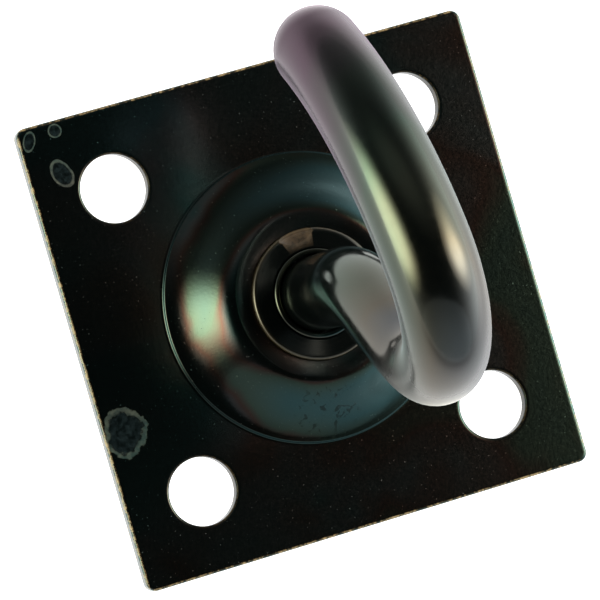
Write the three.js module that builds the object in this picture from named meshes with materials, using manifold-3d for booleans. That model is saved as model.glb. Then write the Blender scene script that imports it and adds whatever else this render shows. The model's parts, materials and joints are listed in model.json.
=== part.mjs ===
// Plate-mounted swivel hook: a pressed square plate with a bearing dome, and a bar hook that
// turns without limit in it on a ball thrust bearing.
// Units are millimetres. Origin: middle of the seating face, on the swivel axis, at the back of
// the dust cap. +Z points out of the wall or ceiling; X and Y run along the plate's sides.
import * as THREE from 'three';
import { mergeVertices } from 'three/addons/utils/BufferGeometryUtils.js';
import Module from 'manifold-3d';

const wasm = await Module();
wasm.setup();

// ---- driving dimensions -------------------------------------------------------------------
const RAD = Math.PI / 180;

const PLATE_SIDE = 76;          // 3 inch square
const PLATE_T = 2.5;
const PLATE_CORNER_R = 1.6;
const EDGE_BREAK = 0.25;        // small chamfer round the plate and its holes
const HOLE_R = 5.5;             // clearance for a 10 mm bolt
const HOLE_PITCH = 50;

const DOME_TOP_Z = 9.6;
const DOME_WALL = 2.2;
const DOME_BORE_R = 7.25;
const CAVITY_R = 21.9;          // mouth of the bearing cavity in the back face
const CEILING_Z = DOME_TOP_Z - DOME_WALL;
const SHEET_OVERLAP = 0.8;      // how far the flat sheet's own opening stands outside the cavity

const STEP_R = 23.3;            // low step that the dome's flank rises from
const STEP_H = 0.85;
const STEP_ROUND = 0.25;
// The dome's side is one S-shaped curve, inside and out. It leaves its foot at FLANK_LEAN and
// runs level into the flat at its top; the sweeps are the lengths of its two handles.
const FLANK_LEAN = 13;
const FOOT_SWEEP = 4.5;
const SHOULDER_SWEEP = 3;
const DOME_FLAT_R = 12.9;       // flat top under the washer
const CEILING_R = 12.6;         // flat ceiling over the bearing
const MOUTH_H = 1.3;            // straight wall at the cavity's mouth

const CAP_T = 0.3;              // dust cap, flush with the back face
const CAP_PLAY = 0.05;

const WASHER_R = 10.55;
const WASHER_BORE_R = 7.25;
const WASHER_T = 1.0;
const WASHER_EDGE = 0.6;        // rounded rim
const SCALLOP_R = 8.2;          // dished notch in the washer's rim
const SCALLOP_REACH = 12.6;     // from the swivel axis to the dish's centre
const SCALLOP_RISE = 7.1;       // from the washer's top face up to the dish's centre
const SCALLOP_AZ = 95;

const BUSH_R = 7.15;
const BUSH_BORE_R = 6.35;
const BUSH_LIP = 0.6;           // stands above the washer
const BUSH_LIP_ROUND = 0.3;
const BUSH_MOUTH_BREAK = 0.2;
const BUSH_FOOT_Z = 4.6;

const SHANK_R = 6.0;
const HEAD_R = 8.6;             // riveted head on the inner end of the shank
const HEAD_FACE_Z = 0.6;
const HEAD_TOP_Z = 2.2;
const HEAD_EDGE = 0.5;

const BACKING_R = 11.2;
const BACKING_T = 1.0;

const RACE_R = 12.2;
const RACE_T = 0.9;
const LOWER_RACE_BORE_R = 6.25;
const UPPER_RACE_BORE_R = 7.4;
const UPPER_RACE_T = 1.0;

const BALL_COUNT = 14;
const BALL_R = 1.5;
const BALL_CIRCLE_R = 9.5;
const GROOVE_DEPTH = 0.35;
const GROOVE_PLAY = 0.06;       // the groove is this much wider than the ball, all round

const CAGE_IN_R = 7.5;
const CAGE_OUT_R = 11.6;
const CAGE_T = 1.0;
const POCKET_R = 1.62;

// Hook centre line, from the swivel axis outwards. Each bend: radius, angle, turn direction.
const NECK_START_Z = 27.7;
const NECK_BEND = { r: 20, deg: 36.5, way: 1, steps: 8 };
const NECK_RUN = 13.8;
const CROWN_BEND = { r: 16, deg: 130.5, way: -1, steps: 22 };
const NOSE_BEND = { r: 45.5, deg: 48, way: -1, steps: 12 };
const CROWN_R = 6.9;            // bar radius over the crown
const TIP_R = 6.65;             // bar radius at the tip
const HOOK_REST_AZ = -86;       // direction the neck leans in the rest pose

// ---- derived heights of the bearing stack -------------------------------------------------
const BACKING_TOP_Z = HEAD_TOP_Z + BACKING_T;
const LOWER_RACE_TOP_Z = BACKING_TOP_Z + RACE_T;
const BALL_Z = LOWER_RACE_TOP_Z - GROOVE_DEPTH + BALL_R;
const UPPER_RACE_FOOT_Z = CEILING_Z - UPPER_RACE_T;
const WASHER_TOP_Z = DOME_TOP_Z + WASHER_T;

// ---- finishes -----------------------------------------------------------------------------
const finish = (color, roughness, metalness = 1.0) =>
  new THREE.MeshStandardMaterial({ color, roughness, metalness });
const BLACK_CHROMATE = { plate: 0x20282b, washer: 0x2b3131, bush: 0x3a4140, hook: 0x4b5453 };
const STEEL = { race: 0x9a9c9e, ball: 0xc9ccd0, backing: 0x3c4244, cap: 0x8d9194 };
const BRASS = 0xb08d4c;

// ---- facets -------------------------------------------------------------------------------
const ROUND = 72;               // sides of a turned piece
const HOLE_QUARTER = 12;        // sides in a quarter turn of the plate's outline and holes
const BAR_ROUND = 32;
const TIP_STEPS = 8;            // rings over the rounded tip
const CORNER_STEPS = 3;
const GROOVE_STEPS = 5;
const FLANK_STEPS = 10;
const POCKET_ROUND = 18;
const BALL_FACETS = [16, 10];
const DISH_FACETS = [48, 32];

// ---- helpers ------------------------------------------------------------------------------
function toSolid(geometry) {
  const bare = geometry.clone();
  bare.deleteAttribute('normal');
  bare.deleteAttribute('uv');
  const welded = mergeVertices(bare, 1e-5);
  const mesh = new wasm.Mesh({
    numProp: 3,
    vertProperties: new Float32Array(welded.attributes.position.array),
    triVerts: new Uint32Array(welded.index.array),
  });
  return new wasm.Manifold(mesh);
}

function toGeometry(solid) {
  const mesh = solid.getMesh();
  const geometry = new THREE.BufferGeometry();
  geometry.setAttribute('position', new THREE.BufferAttribute(mesh.vertProperties, 3));
  geometry.setIndex(new THREE.BufferAttribute(mesh.triVerts, 1));
  geometry.computeVertexNormals();
  return geometry;
}

// Solid of revolution about Z from a closed list of [radius, height] pairs.
function turned(profile) {
  const closed = [...profile, profile[0]].map(([r, z]) => new THREE.Vector2(r, z));
  const geometry = new THREE.LatheGeometry(closed, ROUND);
  geometry.rotateX(Math.PI / 2);
  return geometry;
}

// Quarter-round points about a corner centre, from one angle to another, in degrees.
function roundCorner(cr, cz, r, fromDeg, toDeg, steps = CORNER_STEPS) {
  return Array.from({ length: steps + 1 }, (_, i) => {
    const a = (fromDeg + ((toDeg - fromDeg) * i) / steps) * RAD;
    return [cr + r * Math.cos(a), cz + r * Math.sin(a)];
  });
}

const ringProfile = (inner, outer, low, high) =>
  [[inner, low], [outer, low], [outer, high], [inner, high]];

function named(name, geometry, material, z = 0) {
  const mesh = new THREE.Mesh(geometry, material);
  mesh.name = name;
  mesh.position.z = z;
  return mesh;
}

// ---- mounting plate with its pressed dome -------------------------------------------------
function plateOutline() {
  const h = PLATE_SIDE / 2 - EDGE_BREAK;
  const r = PLATE_CORNER_R;
  const shape = new THREE.Shape();
  const corners = [[1, 1, 0], [-1, 1, 90], [-1, -1, 180], [1, -1, 270]];
  for (const [sx, sy, start] of corners) {
    shape.absarc(sx * (h - r), sy * (h - r), r, start * RAD, (start + 90) * RAD, false);
  }
  shape.closePath();
  const drill = (x, y, radius) => {
    const hole = new THREE.Path();
    hole.absarc(x, y, radius + EDGE_BREAK, 0, 2 * Math.PI, true);
    shape.holes.push(hole);
  };
  for (const [sx, sy] of corners) {
    drill((sx * HOLE_PITCH) / 2, (sy * HOLE_PITCH) / 2, HOLE_R);
  }
  drill(0, 0, CAVITY_R + SHEET_OVERLAP);
  return shape;
}

// Side of the dome as [radius, height] pairs, from its foot up to the flat.
function flank([footR, footZ], flatR, flatZ) {
  const lean = FLANK_LEAN * RAD;
  const curve = new THREE.CubicBezierCurve(
    new THREE.Vector2(footR, footZ),
    new THREE.Vector2(footR - FOOT_SWEEP * Math.cos(lean), footZ + FOOT_SWEEP * Math.sin(lean)),
    new THREE.Vector2(flatR + SHOULDER_SWEEP, flatZ),
    new THREE.Vector2(flatR, flatZ),
  );
  return curve.getPoints(FLANK_STEPS).map(({ x, y }) => [x, y]);
}

function domeProfile() {
  const stepTop = PLATE_T + STEP_H;
  const foot = roundCorner(STEP_R + STEP_ROUND, PLATE_T + STEP_ROUND, STEP_ROUND, 270, 180);
  const edge = roundCorner(STEP_R - STEP_ROUND, stepTop - STEP_ROUND, STEP_ROUND, 0, 90 - FLANK_LEAN);
  return [
    [DOME_BORE_R, DOME_TOP_Z],
    [DOME_BORE_R, CEILING_Z],
    ...flank([CAVITY_R, MOUTH_H], CEILING_R, CEILING_Z).reverse(),
    [CAVITY_R, 0],
    [STEP_R + STEP_ROUND, 0],
    ...foot,
    ...edge,
    ...flank(edge.at(-1), DOME_FLAT_R, DOME_TOP_Z).slice(1),
  ];
}

function makePlate() {
  const sheet = new THREE.ExtrudeGeometry(plateOutline(), {
    depth: PLATE_T - 2 * EDGE_BREAK,
    bevelEnabled: true,
    bevelThickness: EDGE_BREAK,
    bevelSize: EDGE_BREAK,
    bevelSegments: 1,
    curveSegments: HOLE_QUARTER,
  });
  sheet.translate(0, 0, EDGE_BREAK);
  return toGeometry(toSolid(sheet).add(toSolid(turned(domeProfile()))));
}

// ---- thin disc that closes the bearing cavity from behind ---------------------------------
function makeCap() {
  const radius = CAVITY_R - CAP_PLAY;
  const disc = new THREE.CylinderGeometry(radius, radius, CAP_T, ROUND);
  disc.rotateX(Math.PI / 2);
  return disc;
}

// ---- washer on the dome, with the dished notch in its rim ---------------------------------
function makeWasher() {
  const ring = turned([
    [WASHER_BORE_R, 0],
    [WASHER_R, 0],
    ...roundCorner(WASHER_R - WASHER_EDGE, WASHER_T - WASHER_EDGE, WASHER_EDGE, 0, 90),
    [WASHER_BORE_R, WASHER_T],
  ]);
  const dish = new THREE.SphereGeometry(SCALLOP_R, ...DISH_FACETS);
  dish.translate(
    SCALLOP_REACH * Math.cos(SCALLOP_AZ * RAD),
    SCALLOP_REACH * Math.sin(SCALLOP_AZ * RAD),
    WASHER_T + SCALLOP_RISE,
  );
  return toGeometry(toSolid(ring).subtract(toSolid(dish)));
}

// ---- plain bush lining the dome's bore ----------------------------------------------------
function makeBush() {
  const top = WASHER_TOP_Z + BUSH_LIP - BUSH_FOOT_Z;
  return turned([
    [BUSH_BORE_R, 0],
    [BUSH_R, 0],
    ...roundCorner(BUSH_R - BUSH_LIP_ROUND, top - BUSH_LIP_ROUND, BUSH_LIP_ROUND, 0, 90),
    [BUSH_BORE_R + BUSH_MOUTH_BREAK, top],
    [BUSH_BORE_R, top - BUSH_MOUTH_BREAK],
  ]);
}

// ---- races, cage and balls of the thrust bearing ------------------------------------------
// The groove is an arc of a circle centred on the balls' centre circle. Heights are measured
// from the race's own foot; ballHeight is the height of the ball centres in that frame.
function makeRace(bore, thickness, ballHeight) {
  const grooveR = BALL_R + GROOVE_PLAY;
  const above = ballHeight > thickness;
  const face = above ? thickness : 0;
  const half = Math.sqrt(grooveR ** 2 - (ballHeight - face) ** 2);
  const edge = Math.atan2(face - ballHeight, half) / RAD;
  const arc = roundCorner(
    BALL_CIRCLE_R, ballHeight, grooveR, edge, (above ? -180 : 180) - edge, GROOVE_STEPS,
  );
  return turned(above
    ? [[bore, 0], [RACE_R, 0], [RACE_R, thickness], ...arc, [bore, thickness]]
    : [[bore, thickness], [RACE_R, thickness], [RACE_R, 0], ...arc, [bore, 0]].reverse());
}

function makeCage() {
  let cage = toSolid(turned(ringProfile(CAGE_IN_R, CAGE_OUT_R, -CAGE_T / 2, CAGE_T / 2)));
  for (let i = 0; i < BALL_COUNT; i += 1) {
    const a = (2 * Math.PI * i) / BALL_COUNT;
    const pocket = new THREE.CylinderGeometry(POCKET_R, POCKET_R, 2 * CAGE_T, POCKET_ROUND);
    pocket.rotateX(Math.PI / 2);
    pocket.translate(BALL_CIRCLE_R * Math.cos(a), BALL_CIRCLE_R * Math.sin(a), 0);
    cage = cage.subtract(toSolid(pocket));
  }
  return toGeometry(cage);
}

// ---- hook ---------------------------------------------------------------------------------
// Stations along the centre line in the hook's own plane: u sideways, z outwards, heading
// measured from +Z towards +U, and the bar's radius there.
function hookStations() {
  const stations = [];
  let u = 0;
  let z = NECK_START_Z;
  let heading = 0;
  const put = (pu, pz, h, r) => stations.push({ u: pu, z: pz, heading: h, r });

  put(0, HEAD_FACE_Z, 0, 0);
  put(0, HEAD_FACE_Z, 0, HEAD_R - HEAD_EDGE);
  put(0, HEAD_FACE_Z + HEAD_EDGE, 0, HEAD_R);
  put(0, HEAD_TOP_Z, 0, HEAD_R);
  put(0, HEAD_TOP_Z, 0, SHANK_R);
  put(0, (HEAD_TOP_Z + NECK_START_Z) / 2, 0, SHANK_R);

  const bend = ({ r, deg, way, steps }, fromR, toR) => {
    const start = heading;
    const cu = u + way * r * Math.cos(start);
    const cz = z - way * r * Math.sin(start);
    for (let i = 0; i <= steps; i += 1) {
      const t = i / steps;
      heading = start + way * deg * RAD * t;
      u = cu - way * r * Math.cos(heading);
      z = cz + way * r * Math.sin(heading);
      put(u, z, heading, fromR + (toR - fromR) * t);
    }
  };
  bend(NECK_BEND, SHANK_R, SHANK_R);
  u += NECK_RUN * Math.sin(heading);
  z += NECK_RUN * Math.cos(heading);
  bend(CROWN_BEND, SHANK_R, CROWN_R);
  stations.pop();
  bend(NOSE_BEND, CROWN_R, TIP_R);

  for (let i = 1; i <= TIP_STEPS; i += 1) {
    const a = (i / TIP_STEPS) * (Math.PI / 2);
    const along = TIP_R * Math.sin(a);
    put(u + along * Math.sin(heading), z + along * Math.cos(heading), heading,
      i === TIP_STEPS ? 0 : TIP_R * Math.cos(a));
  }
  return stations;
}

// Round bar through the stations; a station of zero radius closes an end.
function sweepRound(stations, sides) {
  const positions = [];
  const rings = stations.map(({ u, z, heading, r }) => {
    const first = positions.length / 3;
    const count = r === 0 ? 1 : sides;
    for (let i = 0; i < count; i += 1) {
      const a = (2 * Math.PI * i) / sides;
      const side = r * Math.cos(a);
      positions.push(u + side * Math.cos(heading), r * Math.sin(a), z - side * Math.sin(heading));
    }
    return { first, count };
  });
  const index = [];
  for (let s = 0; s + 1 < rings.length; s += 1) {
    const low = rings[s];
    const high = rings[s + 1];
    for (let i = 0; i < sides; i += 1) {
      const j = (i + 1) % sides;
      const a = low.first + (low.count === 1 ? 0 : i);
      const b = low.first + (low.count === 1 ? 0 : j);
      const c = high.first + (high.count === 1 ? 0 : i);
      const d = high.first + (high.count === 1 ? 0 : j);
      if (low.count > 1) index.push(a, b, d);
      if (high.count > 1) index.push(a, d, c);
    }
  }
  const geometry = new THREE.BufferGeometry();
  geometry.setAttribute('position', new THREE.Float32BufferAttribute(positions, 3));
  geometry.setIndex(index);
  geometry.computeVertexNormals();
  return geometry;
}

// ---- assembly -----------------------------------------------------------------------------
const assembly = new THREE.Group();
assembly.name = 'swivel_hook';

assembly.add(
  named('mounting_plate', makePlate(), finish(BLACK_CHROMATE.plate, 0.34)),
  named('dust_cap', makeCap(), finish(STEEL.cap, 0.45), CAP_T / 2),
  named('cover_washer', makeWasher(), finish(BLACK_CHROMATE.washer, 0.3), DOME_TOP_Z),
  named('neck_bush', makeBush(), finish(BLACK_CHROMATE.bush, 0.26), BUSH_FOOT_Z),
  named('upper_race', makeRace(UPPER_RACE_BORE_R, UPPER_RACE_T, BALL_Z - UPPER_RACE_FOOT_Z),
    finish(STEEL.race, 0.22), UPPER_RACE_FOOT_Z),
);

const rolling = new THREE.Group();
rolling.name = 'cage_set';
rolling.position.z = BALL_Z;
rolling.add(named('ball_cage', makeCage(), finish(BRASS, 0.35)));
const ballFinish = finish(STEEL.ball, 0.08);
for (let i = 0; i < BALL_COUNT; i += 1) {
  const a = (2 * Math.PI * i) / BALL_COUNT;
  const ball = named(`ball_${String(i + 1).padStart(2, '0')}`,
    new THREE.SphereGeometry(BALL_R, ...BALL_FACETS), ballFinish.clone());
  ball.position.set(BALL_CIRCLE_R * Math.cos(a), BALL_CIRCLE_R * Math.sin(a), 0);
  rolling.add(ball);
}
assembly.add(rolling);

const turning = new THREE.Group();
turning.name = 'hook_set';
turning.rotation.z = HOOK_REST_AZ * RAD;
turning.add(
  named('hook', sweepRound(hookStations(), BAR_ROUND), finish(BLACK_CHROMATE.hook, 0.12)),
  named('backing_washer', turned(ringProfile(LOWER_RACE_BORE_R, BACKING_R, 0, BACKING_T)),
    finish(STEEL.backing, 0.4), HEAD_TOP_Z),
  named('lower_race', makeRace(LOWER_RACE_BORE_R, RACE_T, BALL_Z - BACKING_TOP_Z),
    finish(STEEL.race, 0.22), BACKING_TOP_Z),
);
assembly.add(turning);

export default assembly;
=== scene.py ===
"""Swivel hook on a square bolt-down plate: fine surfaces, finishes, camera and light
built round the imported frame. Lengths named below are millimetres unless they say otherwise."""
import json
import math

import bmesh
import bpy
from mathutils import Matrix, Vector
from mathutils.geometry import interpolate_bezier


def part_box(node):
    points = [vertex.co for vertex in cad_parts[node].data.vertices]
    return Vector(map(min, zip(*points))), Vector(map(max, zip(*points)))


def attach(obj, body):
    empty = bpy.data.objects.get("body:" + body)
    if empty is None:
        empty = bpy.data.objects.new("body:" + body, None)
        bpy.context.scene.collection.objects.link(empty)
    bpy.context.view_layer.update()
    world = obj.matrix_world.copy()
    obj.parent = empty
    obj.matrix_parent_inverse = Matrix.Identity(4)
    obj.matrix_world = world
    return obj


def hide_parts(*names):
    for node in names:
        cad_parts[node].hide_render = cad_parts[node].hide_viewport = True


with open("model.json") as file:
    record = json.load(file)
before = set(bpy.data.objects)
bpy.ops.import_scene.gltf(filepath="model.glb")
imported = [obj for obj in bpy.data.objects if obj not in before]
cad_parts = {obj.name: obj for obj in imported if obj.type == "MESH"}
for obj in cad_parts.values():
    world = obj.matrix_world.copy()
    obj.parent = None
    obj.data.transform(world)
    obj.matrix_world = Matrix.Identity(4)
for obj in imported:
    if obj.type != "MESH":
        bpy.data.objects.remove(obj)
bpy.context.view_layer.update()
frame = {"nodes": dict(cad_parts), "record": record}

MM = 0.001


def node_box(node):
    """Lowest and highest corners of a CAD node, in millimetres."""
    low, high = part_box(node)
    return low / MM, high / MM


plate_high = node_box("mounting_plate")[1]
cap_high = node_box("dust_cap")[1]
washer_high = node_box("cover_washer")[1]
bush_low, bush_high = node_box("neck_bush")
hook_low = node_box("hook")[0]
bolt_land = next(Vector(mount["pos_m"]) / MM for mount in frame["record"]["mounts"]
                 if mount["name"] == "plate_front_bolt_land")

# ---- mounting plate: a flat sheet with four holes
PLATE_HALF = plate_high.x
PLATE_T = bolt_land.z
HOLE_PITCH = 2 * bolt_land.y
HOLE_R = 5.5
CORNER_R = 1.6
EDGE_FRONT = 0.45        # rolled-over edge left by the shear, front face
EDGE_BACK = 0.2
HOLE_EDGE = 0.4
SIDE_WEAR = 1.0          # share of the coat lost along the sheared side's edges
HOLE_WEAR = 0.15         # and round the holes
WEAR_FADE = (0.1, 0.9)   # distance from the edge over which the wear ends
SUPPORT = 0.3            # flat rim that keeps the face shading flat beside each edge
PLATE_SHARP_DEG = 50.0   # edges sharper than this stay crisp

# ---- dome: a low step, an S-shaped side and a flat top, pressed out of the sheet
STEP_R = 23.3
STEP_H = 0.85
STEP_ROUND = 0.25
FLANK_LEAN = 13.0        # degrees, where the side leaves its foot
FOOT_SWEEP = 4.5         # lengths of the S curve's two handles
SHOULDER_SWEEP = 3.0
DOME_FLAT_R = 12.9
DOME_TOP_Z = plate_high.z
DOME_WALL = 2.2
DOME_BORE_R = 7.25
BORE_BREAK = 0.15
CEILING_R = 12.6
MOUTH_H = 1.3            # straight wall at the cavity's mouth
CAP_PLAY = 0.05
CAVITY_R = cap_high.x + CAP_PLAY

# ---- washer and bush on the dome
WASHER_R = washer_high.x
WASHER_TOP_Z = washer_high.z
WASHER_BORE_R = 7.25
WASHER_EDGE = 0.6        # rounded rim
WASHER_FOOT_BREAK = 0.1
DISH_R = 8.2             # ball shape of the notch in the rim
DISH_REACH = 12.6        # from the swivel axis to the ball's centre
DISH_RISE = 7.1          # from the washer's top face up to it
DISH_AZ = 95.0
DISH_MARGIN = 0.02       # how near the ball a point must be to lie in the notch
DISH_SHARP_DEG = 14.0
BUSH_R = bush_high.x
BUSH_BORE_R = 6.35
BUSH_FOOT_Z = bush_low.z
BUSH_TOP_Z = bush_high.z
BUSH_LIP = 0.4           # rounding of the sleeve's outer top edge
BUSH_MOUTH = 0.18        # rounding where its bore opens at the top

# ---- hook: bends of the centre line as (radius, degrees), positive leaning to the neck side
HEAD_FACE_Z = hook_low.z
HEAD_TOP_Z = 2.2
HEAD_R = 8.6             # riveted head inside the dome
HEAD_FACE_RISE = 0.02    # the head's face stands out by this much at its middle
HEAD_FACE_RINGS = (2.5, 5.0, 7.2)
HEAD_ROUND = 0.7
HEAD_TOP_ROUND = 0.2
HEAD_SIDE_END = 0.05     # the side's last ring is this far below the top rounding
SHANK_FILLET = 0.1
NECK_START_Z = 27.7
NECK_BEND = (20.0, 36.5)
NECK_RUN = 13.8
CROWN_BEND = (16.0, -130.5)
NOSE_BEND = (45.5, -48.0)
HOOK_REST_AZ = -86.0
SHANK_R = 6.0
CROWN_R = 6.9
TIP_R = 6.65
SHANK_RINGS = 12         # rings of vertices up the straight shank
TIP_RINGS = 24           # and round the tip

# ---- how finely the round things are divided
HOLE_SIDES = 72
DOME_SIDES = 216
WASHER_SIDES = 256
BUSH_SIDES = 192
HOOK_SIDES = 128
DISH_SUBDIVISIONS = 7
BALL_SUBDIVISIONS = 4

# ---- finishes: colours, gloss and marks
TEAL = (0.42, 0.95, 0.98)
SEA = (0.60, 0.92, 0.95)
GREEN = (0.74, 1.0, 0.77)
GREY = (0.95, 0.98, 1.0)
MAUVE = (1.0, 0.62, 0.84)
SAND = (1.0, 0.88, 0.66)
RUST = (1.0, 0.54, 0.44)
COAT_BLACK = (0.001, 0.0015, 0.0015)
COAT_IOR = 1.68
OPEN_GLOSS = 0.5             # specular level of the coat on open faces
BORE_GLOSS = 0.06            # and on the walls of the bolt holes
BAR_ROUGHNESS = 0.13         # where the coat is smoothest
BUSH_ROUGHNESS = 0.09
PEEL_DULLING = 0.05          # roughness added where the coat is dullest
# painted light: the bar's sheen below is a pale lilac glow painted on its rims, well above the dome
EDGE_SHEEN = 0.9             # weight of the sheen that paints a pale light on the bar's rims
SHEEN_ROUGHNESS = 0.28
RIM_SHEEN_LILAC = (0.84, 0.86, 1.0)
SHEEN_PALE = 0.6             # share of the lilac in the painted rim sheen's tint, the rest the coat's tint
RIM_HAZE = 0.40              # roughness added in the same band, where the bar is seen edge on
RIM_HAZE_FROM = (0.55, 0.95)    # how far turned away it comes in and is full
RIM_SHEEN_HEIGHTS = (0.046, 0.062)   # metres above the seat over which the painted rim sheen and the rim haze come in
BARE_EDGE = (0.42, 0.28, 0.14)  # tan where the sheared edge has lost its coat
BRONZE = (0.085, 0.055, 0.034)  # the washer's notch
SPECK_GREY = (0.014, 0.020, 0.020)
STAIN_FILM = (0.011, 0.017, 0.020)
STAIN_RIM = (0.058, 0.055, 0.040)
WASHER_RIM = (0.035, 0.026, 0.014)
PLATE_ROUGHNESS = (0.13, 0.18)   # smoothest and dullest of the grain
WASHER_ROUGHNESS = (0.08, 0.14)  # and of the turned lines
MARK_DULLING = 0.35          # roughness added by wear, stain rims, rub marks and specks
NOTCH_DULLING = 0.14         # and on the washer's rim and notch
TURNED_LINES = 7000.0        # noise scale of the washer's turned lines
SPECK_LEVELS = (0.69, 0.76)  # noise levels over which a speck comes in
SPECK_SHOW = 0.7             # how much of the speck's own grey shows
RUB_LEVELS = (0.56, 0.62)    # noise levels over which a rub mark comes in
RUB_TINT_LOSS = 0.6          # share of the tint lost on a rub mark
STEEL_SPREAD = (0.8, 1.3)    # smoothest and dullest steel grain, as parts of its roughness

# dried stains on the plate: middle, size, turn in degrees, and how ragged the edge is
STAINS = (((-32.5, 29.5), (3.4, 5.2), 25.0, 0.35), ((-31.7, 36.3), (2.4, 2.4), 0.0, 0.3),
          ((-36.2, 35.7), (2.0, 3.6), -25.0, 0.3), ((-34.5, -12.7), (7.6, 8.2), 0.0, 0.9))
STAIN_OUTLINE = (1.0, 0.9)   # parts of its size over which a stain's rim comes in
STAIN_INSIDE = (0.84, 0.68)  # and over which the rim gives way to the film inside
RUB_MIDDLE = (-2.5, -17.0)   # where the side of the dome has been rubbed
RUB_REACH = 7.0

# ---- camera
CAMERA_TILT = 14.84          # degrees off the plate's normal
CAMERA_AZ = 180.64           # direction it leans, in the plate's own axes
CAMERA_ROLL = -16.83
CAMERA_DISTANCE = 0.7726     # metres from the plate's centre
CAMERA_LENS = 289.4          # millimetres, as is the sensor's width
SENSOR = 36.0
CAMERA_SHIFT = (0.00025, 0.00028)   # metres the seat's middle lies right of the picture's and above it

# ---- stage and lighting
LIGHT_AXIS_TURN = 10.0       # degrees from the camera's right to the line that the right and left
                             # softboxes lie near
TABLE_NEAR = 1.75            # radiance of the lit table beside the part
TABLE_FAR = 0.55             # and far off, square to that line
TABLE_SEEN = 1.8             # extra towards the camera, which keeps the paper white
TABLE_SIDES = (3.4, 2.8)     # extra far off and in the room's light, to the right and to the left
TABLE_REACH = (0.06, 0.6)    # metres over which near turns to far
ROOM_DARK = (0.008, 0.014, 0.014)   # black drape behind the camera
ROOM_LIGHT = (1.5, 1.6, 1.6)        # pale walls level with the table
ROOM_DAWN = (0.12, 0.70)     # share of the way round from the drape where it lifts and is light
ROOM_POWER = 1.6             # above 1, the room stays dark for longer before it lifts
ROOM_ACROSS = 0.25           # share of the room's light that is left square to that line
FLOOR_HALF = 4.0             # metres
FLOOR_GAP = 0.05             # millimetres below the seat
FLOOR_GLOW = 0.95            # share of the floor's light that is its own, for all but the camera
FLOOR_GLOW_SEEN = 0.45       # and for the camera
AIM_HEIGHT = 0.05            # metres above the seat, where the softboxes point
SOFTBOX_DISTANCE = 0.9       # metres from there
SOFTBOX_FADE = (0.5, 0.08)   # parts of its width from its middle over which a softbox comes up
SOFTBOX_FADE_POWER = 1.3     # above 1, the bright middle is smaller
LOBE_POWER = 4.0             # how narrow the lobes of two_sided are

# softbox() tells what each of these means
SOFTBOXES = {
    "right_softbox": dict(turn=13.0, lean=66.0, roll=0.0, across=0.78, along=0.95,
                          radiance=11.0, spill=1.2, colour=(1.0, 0.96, 0.80)),
    "left_softbox": dict(turn=190.0, lean=60.0, roll=-20.0, across=0.95, along=1.1,
                         radiance=10.5, spill=0.5, colour=(0.97, 1.0, 0.76)),
    "top_softbox": dict(turn=95.0, lean=34.0, roll=0.0, across=1.5, along=0.8,
                        radiance=0.25, spill=0.03, colour=(0.92, 1.0, 0.93)),
    "low_softbox": dict(turn=280.0, lean=72.0, roll=0.0, across=1.9, along=1.3,
                        radiance=0.55, spill=0.35, colour=(0.80, 0.95, 1.0)),
}


# ------------------------------------------------------------------------------- mesh helpers
def make_object(name, bm, sharp_deg=40.0):
    """Mesh object from a bmesh in millimetres, smooth but for edges sharper than sharp_deg."""
    bmesh.ops.recalc_face_normals(bm, faces=bm.faces)
    bmesh.ops.scale(bm, vec=(MM, MM, MM), verts=bm.verts)
    mesh = bpy.data.meshes.new(name)
    bm.to_mesh(mesh)
    bm.free()
    mesh.shade_smooth()
    mesh.set_sharp_from_angle(angle=math.radians(sharp_deg))
    obj = bpy.data.objects.new(name, mesh)
    bpy.context.scene.collection.objects.link(obj)
    return obj


def add_ring(bm, points):
    return [bm.verts.new(p) for p in points]


def bridge(bm, low, high):
    """Quads between two rings of the same count, or a fan when one of them is a single point."""
    n = max(len(low), len(high))
    for i in range(n):
        j = (i + 1) % n
        corners = [low[i % len(low)], low[j % len(low)], high[j % len(high)], high[i % len(high)]]
        face = list(dict.fromkeys(corners))
        if len(face) > 2:
            bm.faces.new(face)


def circle(radius, z, sides, centre=(0.0, 0.0)):
    step = 2 * math.pi / sides
    return [(centre[0] + radius * math.cos(i * step), centre[1] + radius * math.sin(i * step), z)
            for i in range(sides)]


def arc(cr, cz, radius, start, end, steps):
    """(radius, height) points of an arc in a profile, angles in degrees."""
    return [(cr + radius * math.cos(math.radians(start + (end - start) * i / steps)),
             cz + radius * math.sin(math.radians(start + (end - start) * i / steps)))
            for i in range(steps + 1)]


def ease(x, low, high):
    """0 below low, 1 above high, eased between."""
    t = min(max((x - low) / (high - low), 0.0), 1.0)
    return t * t * (3 - 2 * t)


def lathe(name, profile, sides):
    """Ring turned about Z from a closed (radius, height) profile."""
    bm = bmesh.new()
    rings = [add_ring(bm, circle(r, z, sides)) for r, z in profile]
    for low, high in zip(rings, rings[1:] + rings[:1]):
        bridge(bm, low, high)
    return make_object(name, bm)


# ------------------------------------------------------------------------------------- plate
def edge_profile(front, back, steps=5):
    """(inset, height) from the front face's flat, round both edges, to the back face's flat."""
    top = [(front + SUPPORT, PLATE_T)]
    top += [(front - front * math.sin(a), PLATE_T - front + front * math.cos(a))
            for a in (math.pi / 2 * i / steps for i in range(steps + 1))]
    foot = [(back - back * math.cos(a), back - back * math.sin(a))
            for a in (math.pi / 2 * i / steps for i in range(steps + 1))]
    side = [(0.0, PLATE_T - front - (PLATE_T - front - back) * i / steps) for i in range(1, steps)]
    return top + side + foot + [(back + SUPPORT, 0.0)]


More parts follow.
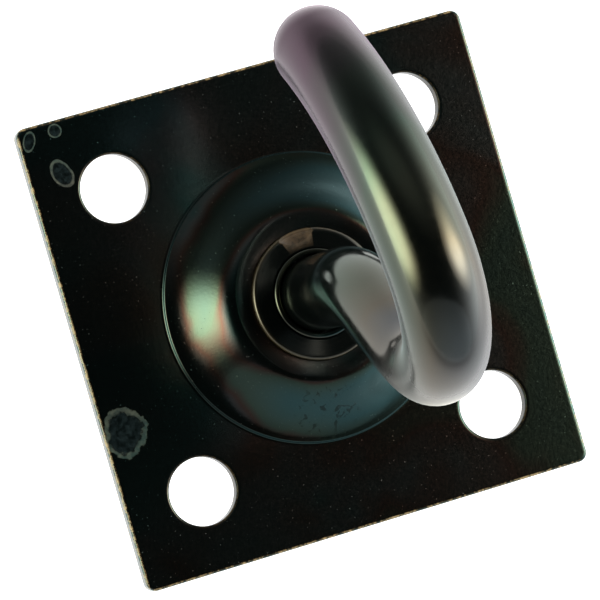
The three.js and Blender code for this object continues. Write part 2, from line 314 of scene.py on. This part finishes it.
def rounded_square(inset, z, per_side=30, per_corner=8):
    half = PLATE_HALF - inset
    radius = CORNER_R - inset
    points = []
    for turn in range(4):
        base = turn * 90.0
        for i in range(per_corner + 1):
            a = math.radians(base + 90.0 * i / per_corner)
            cx, cy = Matrix.Rotation(math.radians(base), 2) @ Vector((half - radius, half - radius))
            points.append((cx + radius * math.cos(a), cy + radius * math.sin(a), z))
        start = Vector(points[-1])
        turned_next = Matrix.Rotation(math.radians(base + 90.0), 2) @ Vector((half, half - radius))
        end = Vector((turned_next[0], turned_next[1], z))
        points += [tuple(start.lerp(end, i / per_side)) for i in range(1, per_side)]
    return points


def flank(foot, flat, points=26):
    """(radius, height) points up the dome's side, from its foot to its flat."""
    lean = math.radians(FLANK_LEAN)
    rise = (foot[0] - FOOT_SWEEP * math.cos(lean), foot[1] + FOOT_SWEEP * math.sin(lean))
    shoulder = (flat[0] + SHOULDER_SWEEP, flat[1])
    return [tuple(p) for p in interpolate_bezier(foot, rise, shoulder, flat, points)]


def dome_profile():
    """Outer surface from the flat plate to the bore, then the inner surface to the back face."""
    step_top = PLATE_T + STEP_H
    ceiling = DOME_TOP_Z - DOME_WALL
    foot = [(STEP_R + STEP_ROUND + SUPPORT, PLATE_T)]
    foot += arc(STEP_R + STEP_ROUND, PLATE_T + STEP_ROUND, STEP_ROUND, -90, -180, steps=5)
    edge = arc(STEP_R - STEP_ROUND, step_top - STEP_ROUND, STEP_ROUND, 0, 90 - FLANK_LEAN, steps=6)
    side = flank(edge[-1], (DOME_FLAT_R, DOME_TOP_Z))[1:]
    top = [(DOME_FLAT_R - SUPPORT, DOME_TOP_Z), (DOME_BORE_R + BORE_BREAK, DOME_TOP_Z),
           (DOME_BORE_R, DOME_TOP_Z - BORE_BREAK)]
    under = [(DOME_BORE_R, ceiling + BORE_BREAK), (DOME_BORE_R + BORE_BREAK, ceiling)]
    under += flank((CAVITY_R, MOUTH_H), (CEILING_R, ceiling))[::-1]
    mouth = [(CAVITY_R, EDGE_BACK), (CAVITY_R + EDGE_BACK, 0.0), (CAVITY_R + 2 * SUPPORT, 0.0)]
    return foot + edge + side + top + under + mouth


def build_plate():
    bm = bmesh.new()
    fronts, backs = [], []

    def wall(rings):
        for low, high in zip(rings, rings[1:]):
            bridge(bm, low, high)
        fronts.append(rings[0])
        backs.append(rings[-1])

    wall([add_ring(bm, rounded_square(inset, z))
          for inset, z in edge_profile(EDGE_FRONT, EDGE_BACK)])
    for sx in (-1, 1):
        for sy in (-1, 1):
            centre = (sx * HOLE_PITCH / 2, sy * HOLE_PITCH / 2)
            wall([add_ring(bm, circle(HOLE_R + inset, z, HOLE_SIDES, centre))
                  for inset, z in edge_profile(HOLE_EDGE, EDGE_BACK)])
    wall([add_ring(bm, circle(r, z, DOME_SIDES)) for r, z in dome_profile()])
    for loops in (fronts, backs):
        edges = [bm.edges.get((ring[i], ring[(i + 1) % len(ring)])) for ring in loops
                 for i in range(len(ring))]
        bmesh.ops.triangle_fill(bm, use_beauty=True, edges=edges)
    plate = make_object("plate_pressing", bm, PLATE_SHARP_DEG)
    mark_edges(plate)
    return plate


def mark_edges(plate):
    """Point attributes. 'wear' is bare metal along the sheared side's edges, with a trace round
    the holes. 'bore' is 1 on the walls of the four bolt holes, where the coat is dull."""
    for name in ("wear", "bore"):
        plate.data.attributes.new(name, "FLOAT", "POINT")
    wear = plate.data.attributes["wear"].data
    bore = plate.data.attributes["bore"].data
    for v in plate.data.vertices:
        x, y, z = (c / MM for c in v.co)
        on_side = max(abs(x), abs(y)) > PLATE_HALF - EDGE_FRONT * 0.9
        edge = min(abs(z - (PLATE_T - EDGE_FRONT / 2)), abs(z - EDGE_BACK))
        from_hole = abs(math.hypot(abs(x) - HOLE_PITCH / 2, abs(y) - HOLE_PITCH / 2) - HOLE_R)
        on_bore = from_hole < HOLE_EDGE / 2
        bore[v.index].value = float(on_bore)
        wear[v.index].value = (SIDE_WEAR * (1.0 - ease(edge, *WEAR_FADE)) if on_side
                               else HOLE_WEAR if on_bore else 0.0)


# ---------------------------------------------------------------------------- washer and bush
def build_washer():
    low, high = DOME_TOP_Z, WASHER_TOP_Z
    profile = [(WASHER_BORE_R, low), (WASHER_R - WASHER_FOOT_BREAK, low),
               (WASHER_R, low + WASHER_FOOT_BREAK)]
    profile += arc(WASHER_R - WASHER_EDGE, high - WASHER_EDGE, WASHER_EDGE, 0, 90, steps=10)
    profile += [(WASHER_R - WASHER_EDGE - SUPPORT, high), (WASHER_BORE_R + BORE_BREAK, high),
                (WASHER_BORE_R, high - BORE_BREAK)]
    washer = lathe("dome_washer", profile, WASHER_SIDES)
    bm = bmesh.new()
    bmesh.ops.create_icosphere(bm, subdivisions=DISH_SUBDIVISIONS, radius=DISH_R)
    az = math.radians(DISH_AZ)
    centre = Vector((DISH_REACH * math.cos(az), DISH_REACH * math.sin(az), high + DISH_RISE))
    bmesh.ops.translate(bm, vec=centre, verts=bm.verts)
    dish = make_object("dish_cutter", bm)
    cut = washer.modifiers.new("dish", "BOOLEAN")
    cut.object = dish
    cut.operation = "DIFFERENCE"
    cut.solver = "EXACT"
    apply_modifiers(washer)
    bpy.data.objects.remove(dish)
    washer.data.shade_smooth()
    washer.data.set_sharp_from_angle(angle=math.radians(DISH_SHARP_DEG))
    in_dish = washer.data.attributes.new("dish", "FLOAT", "POINT")
    for v in washer.data.vertices:
        in_dish.data[v.index].value = float((v.co / MM - centre).length < DISH_R + DISH_MARGIN)
    return washer


def apply_modifiers(obj):
    """Bakes an object's modifiers into its mesh."""
    depsgraph = bpy.context.evaluated_depsgraph_get()
    baked = bpy.data.meshes.new_from_object(obj.evaluated_get(depsgraph))
    obj.modifiers.clear()
    obj.data = baked


def build_bush():
    profile = [(BUSH_BORE_R, BUSH_FOOT_Z), (BUSH_R, BUSH_FOOT_Z)]
    profile += arc(BUSH_R - BUSH_LIP, BUSH_TOP_Z - BUSH_LIP, BUSH_LIP, 0, 90, steps=8)
    profile += arc(BUSH_BORE_R + BUSH_MOUTH, BUSH_TOP_Z - BUSH_MOUTH, BUSH_MOUTH, 90, 180, steps=5)
    return lathe("bush_sleeve", profile, BUSH_SIDES)


# -------------------------------------------------------------------------------------- hook
def arc_length(bend):
    return bend[0] * math.radians(abs(bend[1]))


CROWN_START = arc_length(NECK_BEND) + NECK_RUN
CROWN_END = CROWN_START + arc_length(CROWN_BEND)
NOSE_END = CROWN_END + arc_length(NOSE_BEND)


def radius_along(distance):
    """Bar radius: the shank's, swelling round the crown, then easing down to the tip."""
    return (SHANK_R + (CROWN_R - SHANK_R) * ease(distance, CROWN_START, CROWN_END)
            + (TIP_R - CROWN_R) * ease(distance, CROWN_END, NOSE_END))


def hook_path(step=0.4, soften=2.6):
    """Centre line as (u, z, heading) every step millimetres from the neck's first bend.
    The curvature is eased over about soften millimetres each way where one bend meets the next."""
    stretches = [(arc_length(NECK_BEND), 1 / NECK_BEND[0]), (NECK_RUN, 0.0),
                 (arc_length(CROWN_BEND), -1 / CROWN_BEND[0]),
                 (arc_length(NOSE_BEND), -1 / NOSE_BEND[0])]
    total = sum(length for length, _ in stretches)

    def curvature(s):
        value = 0.0
        start = 0.0
        for length, k in stretches:
            end = start + length
            value += k * (ease(s, start - soften, start + soften)
                          - ease(s, end - soften, end + soften))
            start = end
        return value

    # the path starts before the first bend, so that the bend is eased in whole
    lead = soften
    u, z, heading = 0.0, NECK_START_Z - lead, 0.0
    path = []
    count = round((total + lead) / step)
    for i in range(count + 1):
        path.append((u, z, heading))
        heading += curvature(-lead + (i + 0.5) * step) * step
        u += math.sin(heading) * step
        z += math.cos(heading) * step
    return path, step, lead


def build_hook():
    """Round bar through sections given as (u, z, heading, radius), from the head to the tip."""
    bm = bmesh.new()
    sections = [(0, HEAD_FACE_Z, 0, 0.0)]
    sections += [(0, HEAD_FACE_Z + HEAD_FACE_RISE, 0, r) for r in HEAD_FACE_RINGS]
    lower_edge = arc(HEAD_R - HEAD_ROUND, HEAD_FACE_Z + HEAD_ROUND, HEAD_ROUND - HEAD_FACE_RISE,
                     -90, 0, steps=6)
    upper_edge = arc(HEAD_R - HEAD_TOP_ROUND, HEAD_TOP_Z - HEAD_TOP_ROUND, HEAD_TOP_ROUND, 0, 90, steps=4)
    sections += [(0, z, 0, r) for r, z in lower_edge]
    sections += [(0, HEAD_TOP_Z - HEAD_TOP_ROUND - HEAD_SIDE_END, 0, HEAD_R)]
    sections += [(0, z, 0, r) for r, z in upper_edge]
    shank_foot = HEAD_TOP_Z + SHANK_FILLET
    sections += [(0, HEAD_TOP_Z, 0, SHANK_R + SHANK_FILLET / 2), (0, shank_foot, 0, SHANK_R)]
    path, step, lead = hook_path()
    start = path[0][1]
    sections += [(0, shank_foot + (start - shank_foot) * i / SHANK_RINGS, 0, SHANK_R)
                 for i in range(1, SHANK_RINGS)]
    for i, (u, z, heading) in enumerate(path):
        sections.append((u, z, heading, radius_along(i * step - lead)))
    u, z, heading, radius = sections[-1]
    for i in range(1, TIP_RINGS + 1):
        a = math.pi / 2 * i / TIP_RINGS
        along = radius * math.sin(a)
        sections.append((u + along * math.sin(heading), z + along * math.cos(heading), heading,
                         0.0 if i == TIP_RINGS else radius * math.cos(a)))
    rings = []
    for u, z, heading, r in sections:
        if r == 0.0:
            rings.append(add_ring(bm, [(u, 0.0, z)]))
            continue
        turns = [2 * math.pi * i / HOOK_SIDES for i in range(HOOK_SIDES)]
        across = [(r * math.cos(a), r * math.sin(a)) for a in turns]
        rings.append(add_ring(bm, [(u + c * math.cos(heading), s, z - c * math.sin(heading))
                                   for c, s in across]))
    for low, high in zip(rings, rings[1:]):
        bridge(bm, low, high)
    turn = Matrix.Rotation(math.radians(HOOK_REST_AZ), 4, "Z")
    bmesh.ops.transform(bm, matrix=turn, verts=bm.verts)
    return make_object("hook_bar", bm, 40.0)


# ---------------------------------------------------------------------------- bearing pieces
def build_ball(name, centre, radius):
    bm = bmesh.new()
    bmesh.ops.create_icosphere(bm, subdivisions=BALL_SUBDIVISIONS, radius=radius)
    bmesh.ops.translate(bm, vec=centre, verts=bm.verts)
    return make_object(name, bm, 180.0)


# --------------------------------------------------------------------------------- materials
class Nodes:
    """Short calls for building a node tree; without a tree it makes a new material's."""

    def __init__(self, name, tree=None, coords="Object"):
        if tree is None:
            self.material = bpy.data.materials.new(name)
            self.material.use_nodes = True
            tree = self.material.node_tree
            self.shader = tree.nodes["Principled BSDF"]
            self.output = tree.nodes["Material Output"]
        self.tree = tree
        self.coords = tree.nodes.new("ShaderNodeTexCoord").outputs[coords]

    def new(self, kind, **settings):
        node = self.tree.nodes.new(kind)
        for key, value in settings.items():
            setattr(node, key, value)
        return node

    def feed(self, socket, value):
        if isinstance(value, bpy.types.NodeSocket):
            self.tree.links.new(value, socket)
        else:
            socket.default_value = value

    def noise(self, scale, detail, roughness, distortion=0.0):
        node = self.new("ShaderNodeTexNoise")
        self.feed(node.inputs["Vector"], self.coords)
        node.inputs["Scale"].default_value = scale
        node.inputs["Detail"].default_value = detail
        node.inputs["Roughness"].default_value = roughness
        node.inputs["Distortion"].default_value = distortion
        return node.outputs["Fac"]

    def ramp(self, value, stops):
        """Colour ramp; stops are (position, colour or grey)."""
        node = self.new("ShaderNodeValToRGB")
        self.feed(node.inputs["Fac"], value)
        elements = node.color_ramp.elements
        while len(elements) < len(stops):
            elements.new(0.5)
        for element, (position, colour) in zip(elements, stops):
            element.position = position
            grey = (colour, colour, colour) if isinstance(colour, (int, float)) else colour
            element.color = (*grey, 1.0)
        return node.outputs["Color"]

    def math(self, operation, a, b=0.0, c=0.0):
        node = self.new("ShaderNodeMath", operation=operation)
        for socket, value in zip(node.inputs, (a, b, c)):
            self.feed(socket, value)
        return node.outputs["Value"]

    def dot(self, direction):
        """Dot product of the node tree's own coordinates and a fixed direction."""
        node = self.new("ShaderNodeVectorMath", operation="DOT_PRODUCT")
        self.feed(node.inputs[0], self.coords)
        node.inputs[1].default_value = direction
        return node.outputs["Value"]

    def smooth(self, value, low, high):
        """0 at low and beyond, 1 at high and beyond, eased between. low may be the larger."""
        node = self.new("ShaderNodeMapRange", interpolation_type="SMOOTHSTEP")
        for socket, v in zip(node.inputs, (value, low, high)):
            self.feed(socket, v)
        return node.outputs["Result"]

    def two_sided(self, cosine, level, more_ahead, more_behind):
        """level, plus a lobe where cosine is near 1 and another where it is near -1."""
        ahead = self.math("POWER", self.math("MAXIMUM", cosine, 0.0), LOBE_POWER)
        opposite = self.math("MULTIPLY", cosine, -1.0)
        behind = self.math("POWER", self.math("MAXIMUM", opposite, 0.0), LOBE_POWER)
        value = self.math("MULTIPLY_ADD", ahead, more_ahead, level)
        return self.math("MULTIPLY_ADD", behind, more_behind, value)

    def axis(self, index):
        node = self.new("ShaderNodeSeparateXYZ")
        self.feed(node.inputs[0], self.coords)
        return node.outputs[index]

    def mix(self, factor, a, b):
        """Colour mix. Inputs 6 and 7 and output 2 are the node's colour sockets."""
        node = self.new("ShaderNodeMix", data_type="RGBA")
        self.feed(node.inputs["Factor"], factor)
        for index, value in ((6, a), (7, b)):
            if isinstance(value, tuple):
                value = (*value, 1.0)
            self.feed(node.inputs[index], value)
        return node.outputs[2]

    def bump(self, height, distance, strength, normal=None):
        node = self.new("ShaderNodeBump")
        node.inputs["Strength"].default_value = strength
        node.inputs["Distance"].default_value = distance
        self.feed(node.inputs["Height"], height)
        if normal is not None:
            self.feed(node.inputs["Normal"], normal)
        return node.outputs["Normal"]

    def set(self, **values):
        names = {"colour": "Base Color", "metallic": "Metallic", "roughness": "Roughness",
                 "normal": "Normal", "specular": "Specular IOR Level", "ior": "IOR",
                 "specular_tint": "Specular Tint", "sheen": "Sheen Weight",
                 "sheen_roughness": "Sheen Roughness", "sheen_tint": "Sheen Tint"}
        for key, value in values.items():
            if isinstance(value, tuple):
                value = (*value, 1.0)
            self.feed(self.shader.inputs[names[key]], value)
        return self.material


def turned_away(n):
    """0 where the surface faces the viewer, 1 edge on."""
    facing = n.new("ShaderNodeLayerWeight")
    facing.inputs["Blend"].default_value = 0.5
    return facing.outputs["Facing"]


def film_tint(n, scale, wander, lean, sweep, stops):
    """Reflected tint of the thin black coat. It wanders slowly over the surface, moves on by lean
    towards -X and -Y, and by sweep as the surface turns away, as a thin film's colour does."""
    slow = n.noise(scale, detail=2.0, roughness=0.5, distortion=0.8)
    drift = n.math("MULTIPLY_ADD", slow, wander, 0.5 - wander / 2)
    leaned = n.math("MULTIPLY_ADD", n.axis(0), -lean[0], drift)
    leaned = n.math("MULTIPLY_ADD", n.axis(1), -lean[1], leaned)
    return n.ramp(n.math("MULTIPLY_ADD", turned_away(n), sweep, leaned), stops)


def chromate_gloss(name, hue, smoothest, sheen=0.0, haze=0.0):
    """Deep gloss over slight orange peel, for the bar and the bush. sheen is painted light, a pale glow
    on the rims of the open part of the bar, well above the dome; haze is roughness added in the same
    band."""
    n = Nodes(name)
    # band well above the dome where the sheen paints a pale rim light and the haze blurs the rims
    rim_sheen_band = n.smooth(n.axis(2), *RIM_SHEEN_HEIGHTS)
    tint = film_tint(n, scale=24.0, wander=0.45, lean=(16.0, -9.0), sweep=0.26,
                     stops=[(0.36, SEA), (0.45, hue), (0.54, SAND), (0.72, GREEN), (0.98, MAUVE)])
    rough = n.ramp(n.noise(scale=900.0, detail=3.0, roughness=0.6),
                   [(0.35, smoothest), (0.7, smoothest + PEEL_DULLING)])
    hazy_rim = n.math("MULTIPLY", n.smooth(turned_away(n), *RIM_HAZE_FROM), rim_sheen_band)
    rough = n.math("MULTIPLY_ADD", hazy_rim, haze, rough)
    peel = n.bump(n.noise(scale=420.0, detail=2.0, roughness=0.5), distance=0.00002, strength=0.3)
    return n.set(colour=COAT_BLACK, roughness=rough, normal=peel, ior=COAT_IOR,
                 specular_tint=tint, sheen=n.math("MULTIPLY", rim_sheen_band, sheen),
                 sheen_roughness=SHEEN_ROUGHNESS,
                 sheen_tint=n.mix(SHEEN_PALE, tint, RIM_SHEEN_LILAC))


def stain_masks(n):
    """(ring, inside) of every dried stain: a pale rim with a thinner film inside it."""
    ragged = n.math("SUBTRACT", n.noise(scale=380.0, detail=4.0, roughness=0.6), 0.5)
    on_front = n.math("GREATER_THAN", n.axis(2), (PLATE_T - EDGE_FRONT) * MM)
    ring, inside = 0.0, 0.0
    for middle, size, turn, raggedness in STAINS:
        place_in = n.new("ShaderNodeMapping", vector_type="TEXTURE")
        n.feed(place_in.inputs["Vector"], n.coords)
        place_in.inputs["Location"].default_value = (middle[0] * MM, middle[1] * MM, PLATE_T * MM)
        place_in.inputs["Rotation"].default_value = (0.0, 0.0, math.radians(turn))
        place_in.inputs["Scale"].default_value = (size[0] / 2 * MM, size[1] / 2 * MM, 1.0)
        reach = n.new("ShaderNodeVectorMath", operation="LENGTH")
        n.feed(reach.inputs[0], place_in.outputs[0])
        edge = n.math("MULTIPLY_ADD", ragged, raggedness, reach.outputs["Value"])
        filled = n.smooth(edge, *STAIN_OUTLINE)
        hollow = n.smooth(edge, *STAIN_INSIDE)
        ring = n.math("MAXIMUM", ring, n.math("SUBTRACT", filled, hollow))
        inside = n.math("MAXIMUM", inside, hollow)
    return n.math("MULTIPLY", ring, on_front), n.math("MULTIPLY", inside, on_front)


def chromate_plate():
    n = Nodes("black_chromate_plate")
    tint = film_tint(n, scale=46.0, wander=0.45, lean=(-1.0, 1.0), sweep=1.6,
                     stops=[(0.46, TEAL), (0.53, GREY), (0.60, RUST), (0.67, GREEN), (0.90, TEAL)])
    grain = n.noise(scale=2600.0, detail=3.0, roughness=0.7)
    specks = n.smooth(n.noise(scale=2400.0, detail=2.0, roughness=0.5), *SPECK_LEVELS)
    ring, inside = stain_masks(n)
    crust = n.ramp(n.noise(scale=1300.0, detail=3.0, roughness=0.6), [(0.38, 0.15), (0.62, 1.0)])
    rubbed = n.new("ShaderNodeVectorMath", operation="DISTANCE")
    n.feed(rubbed.inputs[0], n.coords)
    rubbed.inputs[1].default_value = (RUB_MIDDLE[0] * MM, RUB_MIDDLE[1] * MM, DOME_TOP_Z / 2 * MM)
    streaks = n.noise(scale=620.0, detail=3.0, roughness=0.6, distortion=1.0)
    marks = n.math("MULTIPLY", n.smooth(streaks, *RUB_LEVELS),
                   n.smooth(rubbed.outputs["Value"], RUB_REACH * MM, RUB_REACH / 2 * MM))
    wear = n.new("ShaderNodeAttribute", attribute_name="wear").outputs["Fac"]
    patchy = n.ramp(n.noise(scale=1100.0, detail=4.0, roughness=0.7), [(0.45, 0.04), (0.62, 0.9)])
    worn = n.math("MULTIPLY", wear, patchy)
    colour = n.mix(n.math("MULTIPLY", specks, SPECK_SHOW), COAT_BLACK, SPECK_GREY)
    colour = n.mix(n.math("MULTIPLY", inside, crust), colour, STAIN_FILM)
    colour = n.mix(n.math("MULTIPLY", ring, crust), colour, STAIN_RIM)
    colour = n.mix(worn, colour, BARE_EDGE)
    rough = n.ramp(grain, [(0.35, PLATE_ROUGHNESS[0]), (0.75, PLATE_ROUGHNESS[1])])
    dull = n.math("MAXIMUM", n.math("MAXIMUM", worn, marks), n.math("MAXIMUM", ring, specks))
    rough = n.math("MULTIPLY_ADD", dull, MARK_DULLING, rough)
    pits = n.noise(scale=1500.0, detail=3.0, roughness=0.6)
    pitting = n.bump(pits, distance=0.00003, strength=0.3)
    bore = n.new("ShaderNodeAttribute", attribute_name="bore").outputs["Fac"]
    gloss = n.math("MULTIPLY_ADD", bore, BORE_GLOSS - OPEN_GLOSS, OPEN_GLOSS)
    relief = n.bump(grain, distance=0.00002, strength=0.3, normal=pitting)
    tint = n.mix(n.math("MULTIPLY", marks, RUB_TINT_LOSS), tint, COAT_BLACK)
    return n.set(colour=colour, roughness=rough, normal=relief, ior=COAT_IOR, specular=gloss,
                 specular_tint=tint)


def chromate_washer():
    """Fine turned rings, tan on the rim and bronze in the dished notch."""
    n = Nodes("black_chromate_turned")
    radius = n.new("ShaderNodeVectorMath", operation="LENGTH")
    flat = n.new("ShaderNodeVectorMath", operation="MULTIPLY")
    n.feed(flat.inputs[0], n.coords)
    flat.inputs[1].default_value = (1.0, 1.0, 0.0)
    n.feed(radius.inputs[0], flat.outputs[0])
    out_from_axis = radius.outputs["Value"]
    lines = n.new("ShaderNodeTexNoise", noise_dimensions="1D")
    n.feed(lines.inputs["W"], out_from_axis)
    lines.inputs["Scale"].default_value = TURNED_LINES
    rim = n.smooth(out_from_axis, (WASHER_R - WASHER_EDGE) * MM, WASHER_R * MM)
    dish = n.new("ShaderNodeAttribute", attribute_name="dish").outputs["Fac"]
    blotch = n.ramp(n.noise(scale=800.0, detail=3.0, roughness=0.6), [(0.35, 0.35), (0.65, 1.0)])
    colour = n.mix(n.math("MULTIPLY", rim, blotch), COAT_BLACK, WASHER_RIM)
    colour = n.mix(n.math("MULTIPLY", dish, blotch), colour, BRONZE)
    rough = n.ramp(lines.outputs["Fac"], [(0.3, WASHER_ROUGHNESS[0]), (0.7, WASHER_ROUGHNESS[1])])
    rough = n.math("MULTIPLY_ADD", n.math("MAXIMUM", dish, rim), NOTCH_DULLING, rough)
    turned = n.bump(lines.outputs["Fac"], distance=0.00002, strength=0.35)
    return n.set(colour=colour, roughness=rough, normal=turned, ior=COAT_IOR,
                 specular_tint=n.mix(rim, GREY, SAND))


def steel(name, colour, roughness):
    n = Nodes(name)
    grain = n.noise(scale=1500.0, detail=4.0, roughness=0.6)
    tint = n.mix(n.ramp(grain, [(0.35, 0.0), (0.7, 0.6)]), colour, tuple(c * 0.7 for c in colour))
    rough = n.ramp(grain, [(0.3, roughness * STEEL_SPREAD[0]), (0.8, roughness * STEEL_SPREAD[1])])
    return n.set(colour=tint, metallic=1.0, roughness=rough,
                 normal=n.bump(grain, distance=0.00001, strength=0.4))


# ---------------------------------------------------------------------------- assemble pieces
def place(obj, body, node, material):
    obj.data.materials.clear()
    obj.data.materials.append(material)
    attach(obj, body)
    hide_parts(node)


# the bar's sheen paints a pale light on its rims, with roughness haze in the same band
bar_finish = chromate_gloss("black_chromate_gloss", GREY, BAR_ROUGHNESS,
                            sheen=EDGE_SHEEN, haze=RIM_HAZE)
bush_finish = chromate_gloss("black_chromate_polished", TEAL, BUSH_ROUGHNESS)
place(build_plate(), "plate", "mounting_plate", chromate_plate())
place(build_washer(), "plate", "cover_washer", chromate_washer())
place(build_bush(), "plate", "neck_bush", bush_finish)
place(build_hook(), "hook", "hook", bar_finish)

ball_finish = steel("ball_steel", colour=(0.62, 0.64, 0.66), roughness=0.08)
balls = sorted(name for name in frame["nodes"] if name.startswith("ball_") and name != "ball_cage")
for name in balls:
    low, high = node_box(name)
    ball = build_ball(name + "_ground", (low + high) / 2, (high.y - low.y) / 2)
    place(ball, "cage", name, ball_finish)

race_finish = steel("race_steel", colour=(0.46, 0.47, 0.48), roughness=0.25)
cage_finish = steel("cage_brass", colour=(0.46, 0.30, 0.09), roughness=0.35)
backing_finish = steel("backing_steel", colour=(0.10, 0.11, 0.11), roughness=0.4)
cap_finish = steel("cap_steel", colour=(0.30, 0.31, 0.32), roughness=0.4)
for node, finish in (("upper_race", race_finish), ("lower_race", race_finish),
                     ("ball_cage", cage_finish), ("backing_washer", backing_finish),
                     ("dust_cap", cap_finish)):
    frame["nodes"][node].data.materials.clear()
    frame["nodes"][node].data.materials.append(finish)


# ------------------------------------------------------------------------------------- camera
def camera_axes():
    """The camera's right, up and backward directions in the part's frame."""
    tilt, az = math.radians(CAMERA_TILT), math.radians(CAMERA_AZ)
    back = Vector((math.sin(tilt) * math.cos(az), math.sin(tilt) * math.sin(az), math.cos(tilt)))
    roll = math.radians(CAMERA_ROLL)
    right = Vector((-math.sin(roll), math.cos(roll), 0.0)).cross(back).normalized()
    return right, back.cross(right), back


def build_camera():
    data = bpy.data.cameras.new("photo_angle")
    data.lens = CAMERA_LENS
    data.sensor_width = SENSOR
    data.clip_start = 0.05
    data.clip_end = 50.0
    camera = bpy.data.objects.new("photo_angle", data)
    bpy.context.scene.collection.objects.link(camera)
    right, up, back = camera_axes()
    place_at = back * CAMERA_DISTANCE - right * CAMERA_SHIFT[0] - up * CAMERA_SHIFT[1]
    facing = Matrix((right, up, back)).transposed().to_4x4()
    camera.matrix_world = Matrix.Translation(place_at) @ facing
    bpy.context.scene.camera = camera


# ------------------------------------------------------------------------- stage and lighting
def turned_right(degrees):
    """The camera's right-hand direction turned about its axis."""
    right, up, _ = camera_axes()
    a = math.radians(degrees)
    return right * math.cos(a) + up * math.sin(a)


def build_floor():
    bm = bmesh.new()
    bmesh.ops.create_grid(bm, x_segments=1, y_segments=1, size=FLOOR_HALF / MM)
    bmesh.ops.translate(bm, vec=(0, 0, -FLOOR_GAP), verts=bm.verts)
    floor = make_object("floor", bm)
    n = Nodes("pale_floor")
    n.set(colour=(0.8, 0.8, 0.8), roughness=0.9, specular=0.1)
    span = n.new("ShaderNodeVectorMath", operation="LENGTH")
    n.feed(span.inputs[0], n.coords)
    distance = span.outputs["Value"]
    cosine = n.math("DIVIDE", n.dot(turned_right(LIGHT_AXIS_TURN)), distance)
    far = n.two_sided(cosine, TABLE_FAR, *TABLE_SIDES)
    reach = n.smooth(distance, *TABLE_REACH)
    level = n.math("MULTIPLY_ADD", n.math("SUBTRACT", far, TABLE_NEAR), reach, TABLE_NEAR)
    light = n.new("ShaderNodeEmission")
    seen = n.new("ShaderNodeLightPath").outputs["Is Camera Ray"]
    n.feed(light.inputs["Strength"], n.math("MULTIPLY_ADD", seen, TABLE_SEEN, level))
    share = n.new("ShaderNodeMixShader")
    n.feed(share.inputs["Fac"], n.math("MULTIPLY_ADD", seen, FLOOR_GLOW_SEEN - FLOOR_GLOW, FLOOR_GLOW))
    n.feed(share.inputs[1], n.shader.outputs[0])
    n.feed(share.inputs[2], light.outputs[0])
    n.feed(n.output.inputs["Surface"], share.outputs[0])
    floor.data.materials.append(n.material)


def build_world():
    """Black behind the camera, lighter all round, plain white where the camera looks past."""
    world = bpy.data.worlds.new("studio")
    bpy.context.scene.world = world
    world.use_nodes = True
    world.node_tree.nodes.clear()
    n = Nodes("studio", world.node_tree, "Generated")
    round_from_drape = n.math("DIVIDE", n.math("ARCCOSINE", n.dot(camera_axes()[2])), math.pi)
    dawn = n.math("POWER", n.smooth(round_from_drape, *ROOM_DAWN), ROOM_POWER)
    room = n.mix(dawn, ROOM_DARK, ROOM_LIGHT)
    sides = n.two_sided(n.dot(turned_right(LIGHT_AXIS_TURN)), ROOM_ACROSS, *TABLE_SIDES)
    around = n.new("ShaderNodeBackground")
    n.feed(around.inputs["Color"], room)
    n.feed(around.inputs["Strength"], sides)
    seen = n.new("ShaderNodeBackground")
    seen.inputs["Color"].default_value = (1.0, 1.0, 1.0, 1.0)
    share = n.new("ShaderNodeMixShader")
    n.feed(share.inputs[0], n.new("ShaderNodeLightPath").outputs["Is Camera Ray"])
    n.feed(share.inputs[1], around.outputs[0])
    n.feed(share.inputs[2], seen.outputs[0])
    n.feed(n.new("ShaderNodeOutputWorld").inputs["Surface"], share.outputs[0])


def softbox(name, turn, lean, roll, across, along, radiance, spill, colour):
    """Area light that fades to its edges, aimed at the hook. turn is degrees round the camera's
    axis from its right-hand side, lean is degrees away from that axis, and roll spins the
    light. across and along are its sizes in metres round that axis and away from it. spill is
    the radiance it fades to, close to the room's there, so that its edge hardly shows."""
    back = camera_axes()[2]
    outward = turned_right(turn)
    a, b = math.radians(lean), math.radians(roll)
    away = outward * math.sin(a) + back * math.cos(a)
    side = turned_right(turn + 90.0)
    out = side.cross(away) * -1.0
    x = side * math.cos(b) + out * math.sin(b)
    data = bpy.data.lights.new(name, "AREA")
    data.shape, data.size, data.size_y = "ELLIPSE", across, along
    data.energy = radiance * math.pi * (math.pi * across * along / 4)
    data.color = colour
    data.use_nodes = True
    n = Nodes(name, data.node_tree)
    middle = n.new("ShaderNodeVectorMath", operation="DISTANCE")
    n.feed(middle.inputs[0], n.new("ShaderNodeNewGeometry").outputs["Parametric"])
    middle.inputs[1].default_value = (0.5, 0.5, 0.0)
    fade = n.math("POWER", n.smooth(middle.outputs["Value"], *SOFTBOX_FADE), SOFTBOX_FADE_POWER)
    share = spill / radiance
    level = n.math("MULTIPLY_ADD", fade, 1.0 - share, share)
    n.feed(data.node_tree.nodes["Emission"].inputs["Strength"], level)
    lamp = bpy.data.objects.new(name, data)
    stand = Vector((0, 0, AIM_HEIGHT)) + away * SOFTBOX_DISTANCE
    facing = Matrix((x, away.cross(x), away)).transposed()
    lamp.matrix_world = Matrix.Translation(stand) @ facing.to_4x4()
    bpy.context.scene.collection.objects.link(lamp)


build_floor()
build_world()
for name, settings in SOFTBOXES.items():
    softbox(name, **settings)
build_camera()
bpy.context.scene.view_settings.view_transform = "Standard"
